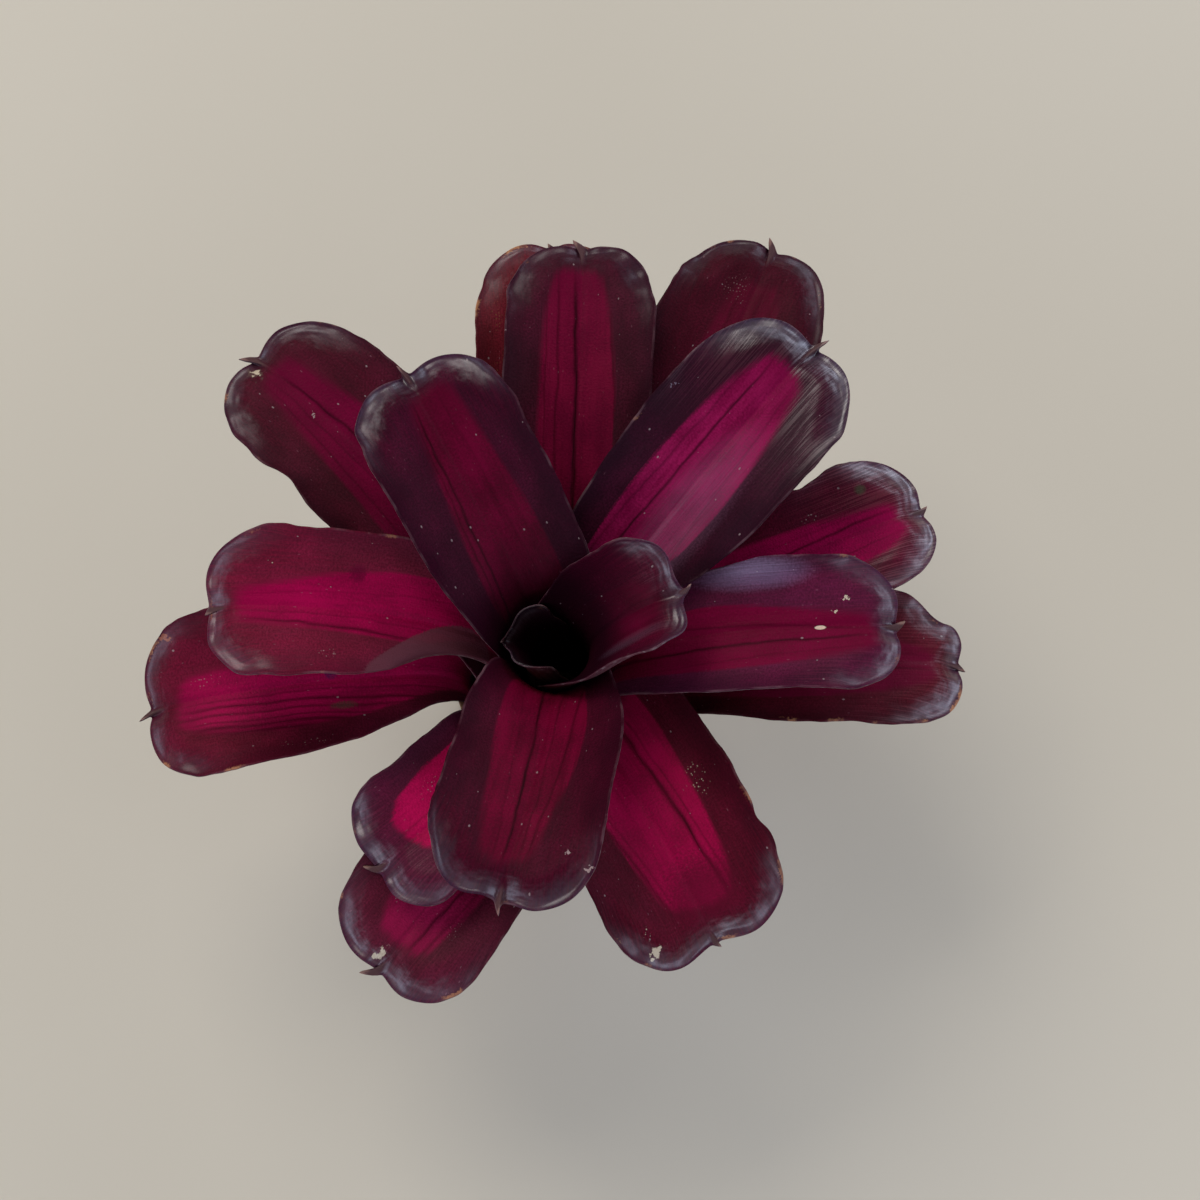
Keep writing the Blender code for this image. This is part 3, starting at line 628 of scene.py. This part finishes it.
class Socket:
    """An output of a shader node. Arithmetic on it adds Math nodes."""

    def __init__(self, paint, link):
        self.paint = paint
        self.link = link

    def __add__(self, other):
        return self.paint.math("ADD", self, other)

    def __sub__(self, other):
        return self.paint.math("SUBTRACT", self, other)

    def __rsub__(self, other):
        return self.paint.math("SUBTRACT", other, self)

    def __mul__(self, other):
        return self.paint.math("MULTIPLY", self, other)

    def __truediv__(self, other):
        return self.paint.math("DIVIDE", self, other)

    __radd__ = __add__


class Paint:
    """A material and the nodes that make its colour, gloss and relief."""

    def __init__(self, name):
        self.material = bpy.data.materials.new(name)
        self.material.use_nodes = True
        self.tree = self.material.node_tree
        self.shader = self.tree.nodes["Principled BSDF"]
        self.color = None

    def node(self, kind, settings, sockets, output=0):
        """Add a node: its settings, then values or links for its sockets, by name or index."""
        made = self.tree.nodes.new("ShaderNode" + kind)
        for key, value in settings.items():
            setattr(made, key, value)
        for key, value in sockets.items():
            self.join(made.inputs[key], value)
        return Socket(self, made.outputs[output])

    def join(self, socket, value):
        """Link a socket, or set its value."""
        if isinstance(value, Socket):
            self.tree.links.new(value.link, socket)
        elif socket.type == "RGBA":
            socket.default_value = (*(channel / 1000 for channel in value), 1.0)
        else:
            socket.default_value = value

    def math(self, operation, a, b=0.0, c=0.0):
        return self.node("Math", {"operation": operation}, {0: a, 1: b, 2: c})

    def step(self, value, low, high):
        """Ease from 0 to 1 as value runs from low to high."""
        return self.node("MapRange", {"interpolation_type": "SMOOTHSTEP"},
                         {"Value": value, "From Min": low, "From Max": high})

    def ease_down(self, value, low, high):
        return 1.0 - self.step(value, low, high)

    def bell(self, value, centre, width):
        """A soft peak of height 1 at the centre."""
        away = (value - centre) / width
        return self.math("EXPONENT", away * away * -1.0)

    def mix(self, factor, a, b):
        """Blend two colours."""
        return self.node("Mix", {"data_type": "RGBA"}, {0: factor, 6: a, 7: b}, 2)

    def cover(self, factor, color):
        """Lay a colour over what is painted so far."""
        self.color = self.mix(factor, self.color, color)

    def split(self, link):
        """The three parts of a vector."""
        parts = self.tree.nodes.new("ShaderNodeSeparateXYZ")
        self.join(parts.inputs[0], link)
        return [Socket(self, part) for part in parts.outputs]

    def pair(self, name):
        """The two coordinates of a UV map, in millimetres."""
        x, y, _ = self.split(self.node("UVMap", {"uv_map": name}, {}))
        return x * UV_SPAN, y * UV_SPAN

    def value(self, name):
        """A number kept on the mesh."""
        return self.node("Attribute", {"attribute_name": name}, {}, 2)

    def noise(self, x, y, detail=2.0):
        """Noise between 0 and 1 over two coordinates, given in turns of the pattern."""
        spot = self.node("CombineXYZ", {}, {0: x, 1: y})
        return self.node("TexNoise", {"noise_dimensions": "2D"},
                         {"Vector": spot, "Scale": 1.0, "Detail": detail, "Roughness": 0.55})

    def cells(self, x, y):
        """The distance to the nearest of scattered points, and a number drawn for that point."""
        spot = self.node("CombineXYZ", {}, {0: x, 1: y})
        near = self.node("TexVoronoi", {"voronoi_dimensions": "2D"}, {"Vector": spot, "Scale": 1.0})
        return near, self.split(Socket(self, near.link.node.outputs["Color"]))[0]

    def mark(self, kind, x, y, shape, grain):
        """How strongly a mark of one kind shows at a place: a seed, dust, or one of MARK_EDGES."""
        mid_x, mid_y, half_x, half_y = shape
        x_out, y_out = (x - mid_x) / half_x, (y - mid_y) / half_y
        far = x_out * x_out + y_out * y_out
        if kind == "seed":
            return self.ease_down(far, 0.6, 1.0)
        if kind == "dust":
            spot, pick = self.cells(x * 1.9, y * 1.7)
            near = self.ease_down(far, 0.2, 1.2)
            return near * self.ease_down(spot + pick * 0.3, 0.16, 0.26) * 0.7
        uneven, low, high, strength = MARK_EDGES[kind]
        return self.ease_down(far + (grain - 0.5) * uneven, low, high) * strength

    def finish(self, height=None, strength=1.0, **settings):
        """Connect the colour, the shader's settings and the relief, its height in millimetres."""
        self.join(self.shader.inputs["Base Color"], self.color)
        for key, value in settings.items():
            self.join(self.shader.inputs[key.replace("_", " ")], value)
        if height is not None:
            bump = self.node("Bump", {}, {"Strength": strength, "Distance": MM, "Height": height})
            self.join(self.shader.inputs["Normal"], bump)
        return self.material


def leaf_skin(number, look):
    """A leaf's upper side: magenta band, dark margins, slate wrinkled tip and worn edge, with
    painted sheen, a painted edge highlight and painted shade in the tank.
    """
    paint = Paint(f"leaf_skin_{number:02d}")
    step, ease_down, noise, cover = paint.step, paint.ease_down, paint.noise, paint.cover
    across, along = paint.pair("skin")
    edge, rim = paint.pair("rim")
    share = paint.value("share")
    spine = paint.value("spine")
    seed = number * 7.3

    # Long streaks follow the veins; blotches are broad and soft; grain is the pebbled surface.
    streak = noise(across * 1.0 + seed, along * 0.030)
    thread = noise(across * 4.6 + seed, along * 0.10, 1.0)
    blotch = noise(across * 0.17 + seed, along * 0.12)
    grain = noise(across * 2.4 + seed, along * 3.0)

    # The band's edges run straight down the leaf, and it ends round below the tip.
    (low_0, high_0), (low_1, high_1) = look.band
    place = (share - 0.4) * 2.0
    wobble = (streak - 0.5) * 0.9 + (grain - 0.5) * 0.5
    from_low = across - (place * (low_1 - low_0) + low_0) + wobble
    from_high = place * (high_1 - high_0) + high_0 - across + wobble
    end = step(share, 0.62, 0.92) * (look.end - 1.4) + 1.4
    inside = paint.math("SMOOTH_MIN", from_low, from_high, 1.0)
    off = across - (low_1 + high_1) / 2
    inside = paint.math("SMOOTH_MIN", inside, edge - end - off * off * 0.08 + wobble * 1.8, 3.0)
    fade = step(share, 0.60, 0.92)
    band = step(inside, -0.35 - fade * 0.3, 0.55 + fade * 1.3) * look.strength

    line = 0.0
    wander = across + (blotch - 0.5) * 1.1
    for first, last, half_width, strength in look.lines:
        line = line + paint.bell(wander, place * (last - first) + first, half_width) * strength
    if look.lines:
        line = line * ease_down(share, 0.80, 0.97) * (thread * 0.8 + 0.55)

    glow = step(streak * 0.35 + blotch * 0.75 + grain * 0.55, 0.53, 1.13)
    inner = paint.mix(glow * (1.0 - step(share, 0.70, 0.95) * 0.6), look.deep, look.bright)
    inner = paint.mix(line, inner, tuple(channel * 0.16 for channel in look.deep))
    red, green, blue = look.margin
    paint.color = look.margin
    cover(step(blotch * 0.7 + thread * 0.5, 0.42, 0.86), (red * 1.6 + 10, green * 1.3, blue * 1.7))
    pebble = step(grain * 0.6 + thread * 0.5, 0.40, 0.72)
    cover(pebble * 0.6, (red * 0.35, green * 0.35, blue * 0.35))
    outermost = ease_down(edge + (blotch - 0.5) * 3.0, 0.3, 5.0)
    cover(outermost * 0.5, (red * 0.36, green * 0.5, blue * 0.55))
    # Lengthwise striations near the tip, painted lighter as painted sheen on the glossier tips.
    striations_and_sheen = step(thread, 0.46, 0.62) * step(share, 0.50, 0.88)
    cover(striations_and_sheen * look.sheen * 0.3, (red * 2.6, green * 1.2, blue * 1.8))
    cover(band, inner)

    # A slate colour lies on the lip round the tip, partly the leaf's own waxy coating and partly
    # painted sheen, and breaks up in its wrinkles. The spine is brown with a pale point.
    tip = step(share, 0.76, 0.97)
    wrinkle = noise(edge * 1.5 + seed, rim * 0.50)
    crease = noise(edge * 0.8 + seed, rim * 2.3, 1.0)
    lip = ease_down(edge + (wrinkle - 0.5) * 2.6 + (blotch - 0.5) * 2.0, 0.2, 3.6) * tip
    slate = lip * (step(wrinkle * 0.5 + crease * 0.5, 0.30, 0.70) * 0.55 + 0.45)
    cover(slate * look.sheen * 0.60, SLATE_AND_SHEEN)
    cover(step(spine, 0.06, 0.4), (85, 40, 42))
    cover(step(spine, 0.70, 0.98), (300, 170, 140))

    # Painted shade: the tank is painted darker towards its floor.
    throat = ease_down(share, look.shade - 0.36, look.shade)
    cover(throat * 0.9, TANK_SHADE)

    # A thin pale line on the edge, a painted highlight, and the edge worn to tan in places on the
    # older leaves.
    worn = noise(rim * 0.15 + seed, edge * 0.3, 3.0)
    pale = ease_down(edge, 0.04, 0.26) * step(worn, 0.42, 0.72) * step(share, 0.05, 0.3)
    cover(pale * 0.4 * (1.0 - throat), (200, 110, 125))
    reach = step(worn, 0.69 - look.age * 0.17, 0.79 - look.age * 0.17)
    burnt = reach * ease_down(edge + (grain - 0.5) * 1.3, 0.10, 0.50) * step(share, 0.35, 0.6)
    cover(burnt * (0.25 + 0.6 * look.age), TAN)

    # Small pale specks of lime and lint, finer flecks, and the leaf's own marks.
    spot, pick = paint.cells(across * 0.26 + seed, along * 0.19)
    speck = step((pick - 0.72) * 0.17 - spot + (grain - 0.5) * 0.03, 0.0, 0.012)
    cover(speck * 0.5, (400, 300, 300))
    spot, pick = paint.cells(across * 1.3 + seed, along * 0.55)
    fleck = step((pick - 0.87) * 1.1 - spot, 0.0, 0.03) * step(blotch, 0.35, 0.65)
    cover(fleck * (0.05 + 0.4 * look.age), (340, 150, 190))
    raised = speck * 0.05
    warp = (noise(across * 1.1 + seed, along * 1.1) - 0.5) * 2.2
    comb = max(look.sheen - 0.65, 0.0) * 1.2
    gloss = (striations_and_sheen * 0.8 + 0.2) * step(share, 0.55, 0.95) * (1.0 - band) * comb
    for kind, *shape, tone in look.marks:
        if kind == "spot":
            mark = paint.mark(kind, across + warp, along - warp, shape, grain)
        elif kind == "fold":
            mark = paint.mark(kind, edge, along, shape, grain) * step(across, -4.5, -3.5)
        else:
            mark = paint.mark(kind, across, along, shape, grain)
        # These marks are painted sheen: a patch of reflection painted into the colour, with coat
        # added.
        if kind == "painted_sheen":
            mark = mark * (thread * 1.2 + 0.35)
            gloss = gloss + mark * 0.5
        cover(mark, tone)
        if kind in MARK_HEIGHTS:
            raised = raised + mark * MARK_HEIGHTS[kind]

    rough = 0.44 + (grain - 0.5) * 0.20 + burnt * 0.3
    height = grain * 0.095 + thread * 0.050 + wrinkle * lip * 0.22 + crease * lip * 0.12 + raised
    polish = lip * step(edge, 0.05, 0.7) * (1.0 - step(spine, 0.02, 0.3)) * look.sheen
    return paint.finish(height, 0.9, Roughness=rough, Coat_Weight=polish * 0.9 + gloss,
                        Metallic=polish * 0.3, Specular_IOR_Level=0.04, Coat_Roughness=0.34,
                        Coat_IOR=2.0)


@cache
def leaf_back():
    """The lower side of every leaf: dull mauve brown with grey scurf, browner on the sheath."""
    paint = Paint("leaf_back")
    across, along = paint.pair("skin")
    edge = paint.pair("rim")[0]
    share = paint.value("share")
    streak = paint.noise(across * 1.3, along * 0.04)
    scurf = paint.noise(across * 2.6 + 40.0, along * 0.9, 3.0)
    grain = paint.noise(across * 4.0, along * 4.0 + 80.0)
    paint.color = (90, 18, 30)
    paint.cover(paint.step(streak, 0.3, 0.7), (160, 34, 46))
    paint.cover(paint.ease_down(edge, 0.5, 5.0) * 0.6, (50, 14, 22))
    paint.cover(paint.step(scurf, 0.48, 0.72) * 0.34, (300, 240, 250))
    foot = paint.ease_down(share + (streak - 0.5) * 0.25, -0.62, -0.05)
    paint.cover(foot * 0.75, (200, 110, 60))
    paint.cover(paint.step(share, 0.84, 0.98) * 0.5, (75, 55, 85))
    height = streak * 0.10 + scurf * 0.03 + grain * 0.02
    return paint.finish(height, 0.9, Roughness=0.62 + (grain - 0.5) * 0.15, Specular_IOR_Level=0.35)


@dataclass
class Scale:
    """A dried scale leaf: azimuth, height of its top, width, and how far its top stands off."""

    azimuth: float
    height: float
    sheath: float
    splay: float
    radius: float = FIRST_RADIUS


SCALE_FOOT = 4.6
SCALES = (
    Scale(310, 20, 30, 1.6),
    Scale(150, 17, 28, 2.0),
    Scale(25, 15, 26, 2.4),
    Scale(228, 13, 26, 2.2),
)


def build_scale(number, scale):
    """A papery strip of the sheath's profile that narrows to a frayed point.

    Its width falls with height t as 1 - 0.8 t^2.2, and it stands off by splay times t cubed.
    """
    t = np.linspace(0.0, 1.0, 44)[:, None]
    v = np.linspace(-1.0, 1.0, 57)[None, :]
    fray = 0.35 * ripples(v * 12.0, 0.0 * v, 2.2, number)
    fray = fray + 0.25 * ripples(v * 12.0, 0.0 * v, 0.9, number + 9)
    z = SCALE_FOOT + (scale.height - SCALE_FOOT) * t * (1.0 - 0.10 * v ** 2 * t) + fray * t ** 4
    radius = scale.radius + sheath_spread(z)
    half = scale.sheath / 2 * (1.0 - 0.80 * t ** 2.2)
    arc = half * v
    curl = scale.splay * t ** 3 + 0.12 * ripples(arc, z, 4.0, number + 30) * t ** 1.5
    angle = arc / (scale.radius + sheath_spread(GIRTH_HEIGHT)) + math.radians(scale.azimuth)
    out = radius + curl
    points = np.stack([out * np.cos(angle), out * np.sin(angle), z], -1)
    normals = np.stack([-np.cos(angle), -np.sin(angle), 0.0 * z], -1)
    thick = np.broadcast_to(0.30 * (1.0 - 0.5 * v ** 2 * (0.3 + 0.7 * t)), z.shape)[..., None]
    verts, quads, source, under = slab(points, normals * thick / 2, -normals * thick / 2, 0.05)
    height = np.broadcast_to(t, z.shape)
    arc, z, height = (values.ravel()[source] for values in (arc, z, height))
    add_mesh(f"scale_{number}", verts, quads, (scale_paper(),), None,
             (("skin", arc, z),), (("share", height),))


@cache
def scale_paper():
    """Dried leaf base: tan and brown fibres, darker at the torn top."""
    paint = Paint("scale_paper")
    across, along = paint.pair("skin")
    share = paint.value("share")
    fibre = paint.noise(across * 2.6, along * 0.10, 4.0)
    thread = paint.noise(across * 8.0, along * 0.25 + 30.0)
    blotch = paint.noise(across * 0.25, along * 0.3 + 60.0)
    paint.color = (120, 62, 30)
    paint.cover(paint.step(fibre, 0.32, 0.68), (340, 215, 120))
    paint.cover(paint.step(blotch, 0.45, 0.75) * 0.6, (90, 40, 22))
    paint.cover(paint.step(share, 0.70, 1.0) * 0.6, (60, 28, 18))
    return paint.finish(fibre * 0.18 + thread * 0.06, Roughness=0.82, Specular_IOR_Level=0.25)


def tube(line, radii, sides):
    """A closed tube along a line: at each point a ring in the plane of the side and top vectors."""
    tangent = np.gradient(line, axis=0)
    tangent /= np.linalg.norm(tangent, axis=1)[:, None]
    side = np.cross(tangent, [0.0, 0.0, 1.0])
    side /= np.linalg.norm(side, axis=1)[:, None]
    top = np.cross(side, tangent)
    turn = np.linspace(0.0, 2 * math.pi, sides, endpoint=False)
    ring = side[:, None] * np.cos(turn)[None, :, None] + top[:, None] * np.sin(turn)[None, :, None]
    return close_rings(line[:, None] + ring * radii[:, None, None])


def close_rings(rings):
    """Join rings of points into vertices and quads of a closed body, with quads across its ends.

    Each end quad joins three points of the last ring and the ring's middle.
    """
    count, sides = rings.shape[:2]
    ends = np.stack([rings[0].mean(0), rings[-1].mean(0)])
    verts = np.concatenate([rings.reshape(-1, 3), ends])
    i = np.arange(count - 1)[:, None] * sides
    j = np.arange(sides)[None, :]
    k = (j + 1) % sides
    walls = np.stack([i + j, i + k, i + sides + k, i + sides + j], -1).reshape(-1, 4)
    j, k = j.ravel(), k.ravel()
    even = np.arange(0, sides, 2)
    fan = np.stack([even, (even + 1) % sides, (even + 2) % sides], 1)
    middle = np.full((len(even), 1), count * sides)
    first = np.concatenate([middle, fan[:, ::-1]], 1)
    last = np.concatenate([middle + 1, fan + (count - 1) * sides], 1)
    return verts, np.concatenate([walls, first, last])


def build_stem():
    """The stump, its wiry roots and the cut stub of the runner, as one piece.

    The stump is turned: its radius at each height is read from the profile, with ring scars and
    fibres added except at the flat cut end.
    """
    top = stem_radius(STEM_TOP)
    profile = ((0.0, CUT_RADIUS), (1.2, CUT_RADIUS + 0.9), (1.8, CUT_RADIUS + 0.6),
               (3.0, STEM_RADIUS - 0.7), (3.5, STEM_RADIUS - 0.9), (STEM_SHOULDER, STEM_RADIUS),
               (STEM_TOP, top), (STEM_TOP + 2, top * 0.6))
    heights, widths = np.array(profile).T
    z = np.concatenate([np.linspace(0.0, 6.0, 41), np.linspace(6.5, STEM_TOP + 2, 30)])[:, None]
    turn = np.linspace(0.0, 2 * math.pi, 128, endpoint=False)[None, :]
    scars = 0.16 * np.abs(np.sin(z * 2.1 + 0.5 * np.sin(2 * turn))) - 0.10
    fibres = 0.10 * ripples(np.cos(turn) * 12 + 0 * z, np.sin(turn) * 12 + z * 0.15, 1.6, 5)
    radius = np.interp(z, heights, widths)
    radius = radius + (scars + fibres) * smooth(z / 0.6) * smooth((8.0 - z) / 3.0)
    rings = np.stack([radius * np.cos(turn), radius * np.sin(turn), z + 0 * turn], -1)
    cut = rings[0][None] * np.array([0.15, 0.4, 0.7, 0.9])[:, None, None]
    bodies = [close_rings(np.concatenate([cut, rings]))]

    for number, (azimuth, length, height, droop) in enumerate(ROOTS):
        t = np.linspace(0.0, 1.0, 30)
        r = CUT_RADIUS - 2.5 + length * t
        z = height * (1.0 - smooth(t * 1.4)) + ROOT_RADIUS * 1.6
        sway = np.radians(azimuth + droop * t ** 2) + 0.02 * ripples(r, 0 * r, 4.0, number + 3)
        line = np.stack([r * np.cos(sway), r * np.sin(sway), z], 1)
        thin = ROOT_RADIUS * (1.0 - 0.35 * t) * (1.0 + 0.12 * ripples(r, 0 * r, 1.6, number + 13))
        bodies.append(tube(line, thin, 12))

    turn = math.radians(RUNNER_AZIMUTH)
    out = np.linspace(CUT_RADIUS - 4.0, RUNNER_END, 40)
    line = np.stack([out * math.cos(turn), out * math.sin(turn), 0 * out + RUNNER_HEIGHT], 1)
    joint = 0.16 * np.exp(-((out - CUT_RADIUS - 5.5) / 0.8) ** 2)
    girth = RUNNER_RADIUS * (1.0 + joint + 0.02 * ripples(out, 0 * out, 1.5, 77))
    girth = girth * np.where(out > RUNNER_END - 0.4, 0.93, 1.0)
    bodies.append(tube(line, girth, 24))
    starts = np.cumsum([0] + [len(verts) for verts, _ in bodies])
    quads = np.concatenate([quads + start for (_, quads), start in zip(bodies, starts)])
    add_mesh("stem", np.concatenate([verts for verts, _ in bodies]), quads, (stem_fibre(),))


def stem_fibre():
    """Brown fibrous stump: threads that run up it, and dark pits."""
    paint = Paint("stem_fibre")
    place = paint.node("TexCoord", {}, {}, 3)
    upright = paint.node("Mapping", {}, {"Vector": place, "Scale": (900.0, 900.0, 160.0)})
    fibre = paint.node("TexNoise", {}, {"Vector": upright, "Scale": 1.0, "Detail": 4.0,
                                        "Roughness": 0.6})
    pits = paint.node("TexNoise", {}, {"Vector": place, "Scale": 420.0, "Detail": 3.0,
                                       "Roughness": 0.6})
    paint.color = (60, 30, 16)
    paint.cover(paint.step(fibre, 0.35, 0.68), (230, 140, 75))
    paint.cover(paint.step(pits, 0.55, 0.75) * 0.7, (30, 14, 8))
    return paint.finish(fibre * 0.30 + pits * 0.12, Roughness=0.85, Specular_IOR_Level=0.25)


FLOOR_SIZE = 6000.0


def build_floor():
    """A plain pale floor."""
    mesh = bpy.data.meshes.new("floor")
    half = FLOOR_SIZE / 2 * MM
    mesh.from_pydata([(-half, -half, 0), (half, -half, 0), (half, half, 0), (-half, half, 0)], [],
                     [(0, 1, 2, 3)])
    paint = Paint("floor_paint")
    place = paint.node("TexCoord", {}, {}, 3)
    paint.color = (565, 510, 410)
    paint.cover(paint.node("TexNoise", {}, {"Vector": place, "Scale": 3.0, "Detail": 1.0}),
                (615, 560, 455))
    mesh.materials.append(paint.finish(Roughness=0.9, Specular_IOR_Level=0.1))
    add_object("floor", mesh)


# The camera looks down on the plant, tilted from the vertical. The middle of the tank's mouth lies
# at this pixel of a square frame, at this scale.
VIEW_TILT = 17.0
VIEW_DISTANCE = 380.0
PIXELS_PER_MM = 6.2
FRAME_PIXELS = 1200
MOUTH = (0.0, 0.0, 50.0)
MOUTH_PIXEL = (557, 659)


def build_camera():
    tilt = math.radians(VIEW_TILT)
    back = np.array([0.0, -math.sin(tilt), math.cos(tilt)])
    right = np.array([1.0, 0.0, 0.0])
    up = np.cross(back, right)
    shift = (np.array(MOUTH_PIXEL) - FRAME_PIXELS / 2) / PIXELS_PER_MM
    eye = np.array(MOUTH) - right * shift[0] + up * shift[1] + back * VIEW_DISTANCE
    data = bpy.data.cameras.new("camera")
    data.angle = 2 * math.atan(FRAME_PIXELS / 2 / (PIXELS_PER_MM * VIEW_DISTANCE))
    camera = add_object("camera", data)
    camera.location = eye * MM
    camera.rotation_euler = (tilt, 0.0, 0.0)
    bpy.context.scene.camera = camera


# Soft boxes round a point on the axis: azimuth, elevation, distance, width and height in metres,
# watts and colour. The sky is a weak warm fill.
LIGHTS = (
    ("key", 122, 48, 1.3, 0.8, 0.8, 8.6, (1.0, 0.97, 0.93)),
    ("left", 197, 26, 1.2, 1.3, 0.45, 6.2, (0.70, 0.79, 1.0)),
    ("right", 347, 26, 1.2, 1.3, 0.45, 6.4, (0.70, 0.79, 1.0)),
    ("low", 268, 26, 1.3, 1.2, 0.45, 6.0, (0.76, 0.83, 1.0)),
    ("far", 52, 28, 1.3, 1.2, 0.45, 6.0, (0.76, 0.83, 1.0)),
)
LIT_POINT = (0.0, 0.0, 0.05)
SKY_COLOR = (1.0, 0.94, 0.84, 1.0)
SKY_STRENGTH = 0.17


def build_lights():
    for name, azimuth, elevation, distance, width, height, watts, color in LIGHTS:
        data = bpy.data.lights.new(name, "AREA")
        data.shape = "RECTANGLE"
        data.size = width
        data.size_y = height
        data.energy = watts
        data.color = color
        lamp = add_object(name, data)
        turn, lift = math.radians(azimuth), math.radians(elevation)
        level = math.cos(lift)
        away = np.array([math.cos(turn) * level, math.sin(turn) * level, math.sin(lift)])
        lamp.location = away * distance + np.array(LIT_POINT)
        lamp.rotation_euler = (math.pi / 2 - lift, 0.0, turn + math.pi / 2)
    world = bpy.data.worlds.new("studio")
    world.use_nodes = True
    sky = world.node_tree.nodes["Background"]
    sky.inputs["Color"].default_value = SKY_COLOR
    sky.inputs["Strength"].default_value = SKY_STRENGTH
    bpy.context.scene.world = world


stack_sheaths(LEAVES + SCALES)
build_camera()
build_lights()
build_floor()
build_stem()
for number, (leaf, look) in enumerate(zip(LEAVES, LOOKS), 1):
    build_leaf(number, leaf, look)
for number, scale in enumerate(SCALES, 1):
    build_scale(number, scale)
bpy.context.scene.view_settings.view_transform = "Standard"
